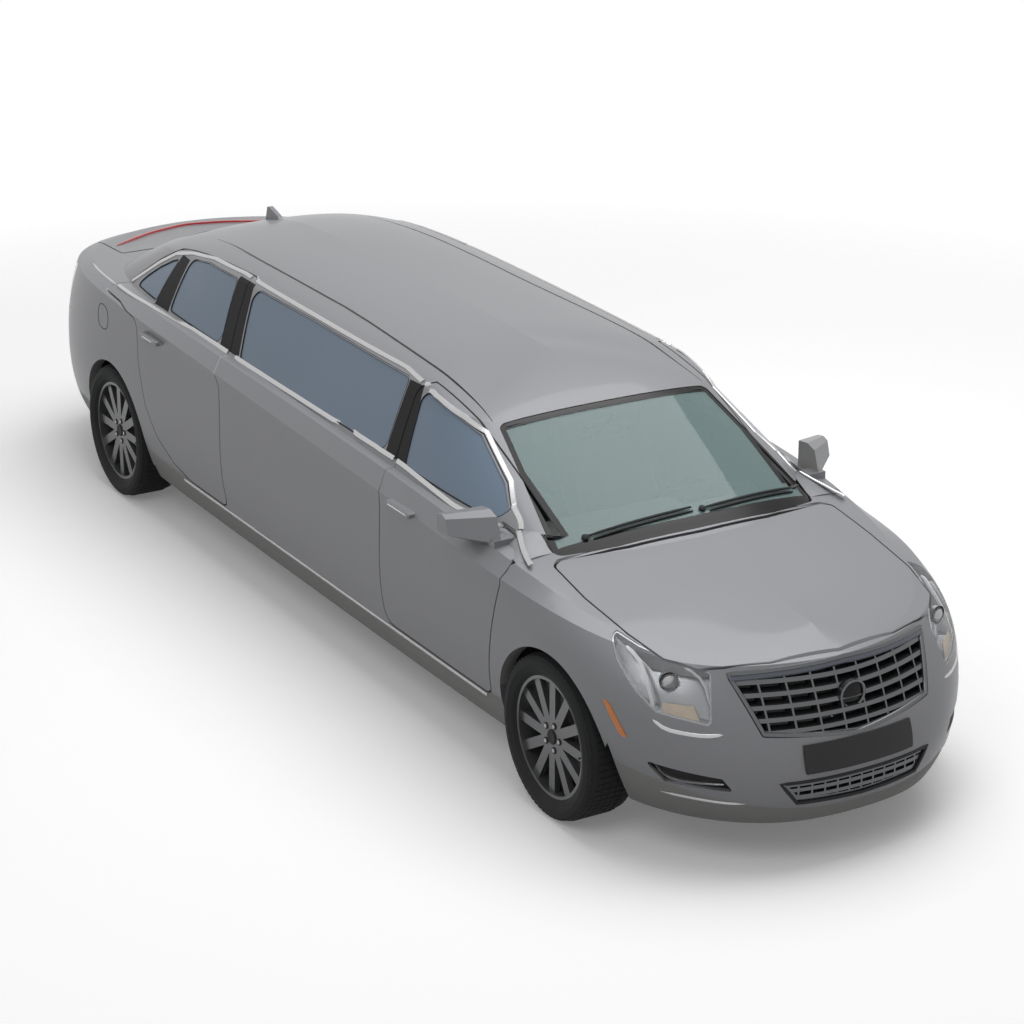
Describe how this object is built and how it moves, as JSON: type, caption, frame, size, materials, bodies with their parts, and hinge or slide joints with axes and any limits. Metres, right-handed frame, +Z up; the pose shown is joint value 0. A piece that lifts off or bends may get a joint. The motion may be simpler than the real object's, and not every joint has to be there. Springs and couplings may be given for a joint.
{
  "type": "stretch limousine",
  "caption": "Long-wheelbase saloon car with a fixed panel let in behind the front doors, opening doors, bonnet and boot, and steered front wheels.",
  "frame": {"origin": "on the ground under the middle of the car's length and width", "axes": "+X to the nose, +Y to the car's left, +Z up"},
  "size_m": [6.696, 1.9706, 1.4998],
  "materials": {
    "paint": "silver grey metallic",
    "glass_clear": "clear tinted",
    "glass_side": "blue-grey tinted",
    "lens": "clear",
    "lamp_bowl": "bright",
    "lamp_red": "red lens",
    "grille": "black chrome",
    "trim_black": "matt",
    "underbody": "matt black",
    "trim_inside": "grained",
    "seat_leather": "pale leather",
    "cabinet": "pale lacquer",
    "cast": "raw",
    "steel": "brushed",
    "rim": "dark grey painted",
    "tyre": "rubber"
  },
  "bodies": {
    "body": {"floor_pan": "underbody", "firewall": "underbody", "wheel_liners_front": "underbody", "wheel_liners_rear": "underbody", "rear_bulkhead": "underbody", "fuel_tank": "underbody", "roof_panel": "paint", "front_fenders": "paint", "front_bumper": "paint", "rear_bumper": "paint", "rear_scuttle": "paint", "side_panel_right": "paint", "side_panel_left": "paint", "windscreen": "glass_clear", "rear_window": "glass_clear", "side_glass": "glass_side", "grille_upper": "grille", "grille_lower": "grille", "fog_recess": "trim_black", "headlamp_bowls": "lamp_bowl", "headlamp_lenses": "lens", "tail_lamps": "lamp_red", "dashboard": "trim_inside", "front_seats": "seat_leather", "rear_seats": "seat_leather", "bar_cabinet": "cabinet", "engine_block": "cast", "front_subframe": "cast", "rear_axle": "cast", "exhaust": "steel"},
    "door_front_right": {"door_front_right": "paint", "glass_front_right": "glass_side", "mirror_right": "paint"},
    "door_front_left": {"door_front_left": "paint", "glass_front_left": "glass_side", "mirror_left": "paint"},
    "door_rear_right": {"door_rear_right": "paint", "glass_rear_right": "glass_side"},
    "door_rear_left": {"door_rear_left": "paint", "glass_rear_left": "glass_side"},
    "bonnet": {"bonnet": "paint"},
    "boot_lid": {"boot_lid": "paint"},
    "steering_wheel": {"steering_wheel": "trim_inside"},
    "knuckle_right": {"knuckle_right": "cast"},
    "knuckle_left": {"knuckle_left": "cast"},
    "wheel_front_right": {"rim_front_right": "rim", "tyre_front_right": "tyre"},
    "wheel_front_left": {"rim_front_left": "rim", "tyre_front_left": "tyre"},
    "wheel_rear_right": {"rim_rear_right": "rim", "tyre_rear_right": "tyre"},
    "wheel_rear_left": {"rim_rear_left": "rim", "tyre_rear_left": "tyre"}
  },
  "joints": [
    {"name": "door_front_right_hinge", "type": "hinge", "parent": "body", "child": "door_front_right", "pos_m": [1.89498, -0.88989, 0.72], "axis": [0, 0, 1], "range_deg": [0, 65]},
    {"name": "door_rear_right_hinge", "type": "hinge", "parent": "body", "child": "door_rear_right", "pos_m": [-0.74494, -0.88989, 0.68], "axis": [0, 0, 1], "range_deg": [0, 65]},
    {"name": "door_front_left_hinge", "type": "hinge", "parent": "body", "child": "door_front_left", "pos_m": [1.89498, 0.88989, 0.72], "axis": [0, 0, -1], "range_deg": [0, 65]},
    {"name": "door_rear_left_hinge", "type": "hinge", "parent": "body", "child": "door_rear_left", "pos_m": [-0.74494, 0.88989, 0.68], "axis": [0, 0, -1], "range_deg": [0, 65]},
    {"name": "bonnet_hinge", "type": "hinge", "parent": "body", "child": "bonnet", "pos_m": [2.09995, 0, 0.97005], "axis": [0, -1, 0], "range_deg": [0, 42]},
    {"name": "boot_hinge", "type": "hinge", "parent": "body", "child": "boot_lid", "pos_m": [-2.7158, 0, 1.10505], "axis": [0, 1, 0], "range_deg": [0, 60]},
    {"name": "steer_right", "type": "hinge", "parent": "body", "child": "knuckle_right", "pos_m": [2.395, -0.742, 0.352], "axis": [0, 0, 1], "range_deg": [-30, 30]},
    {"name": "steer_left", "type": "hinge", "parent": "body", "child": "knuckle_left", "pos_m": [2.395, 0.742, 0.352], "axis": [0, 0, 1], "range_deg": [-30, 30]},
    {"name": "steering_wheel_turn", "type": "hinge", "parent": "body", "child": "steering_wheel", "pos_m": [1.4498, 0.37, 0.8025], "axis": [-0.9063, 0, 0.4226], "range_deg": [-420, 420]},
    {"name": "spin_front_right", "type": "hinge", "parent": "knuckle_right", "child": "wheel_front_right", "pos_m": [2.395, -0.787, 0.352], "axis": [0, 1, 0], "continuous": true},
    {"name": "spin_front_left", "type": "hinge", "parent": "knuckle_left", "child": "wheel_front_left", "pos_m": [2.395, 0.787, 0.352], "axis": [0, 1, 0], "continuous": true},
    {"name": "spin_rear_right", "type": "hinge", "parent": "body", "child": "wheel_rear_right", "pos_m": [-2.045, -0.787, 0.352], "axis": [0, 1, 0], "continuous": true},
    {"name": "spin_rear_left", "type": "hinge", "parent": "body", "child": "wheel_rear_left", "pos_m": [-2.045, 0.787, 0.352], "axis": [0, 1, 0], "continuous": true}
  ],
  "couplings": [
    {"joint": "steer_left", "follows": "steer_right", "ratio": 1},
    {"joint": "steering_wheel_turn", "follows": "steer_right", "ratio": 14}
  ]
}
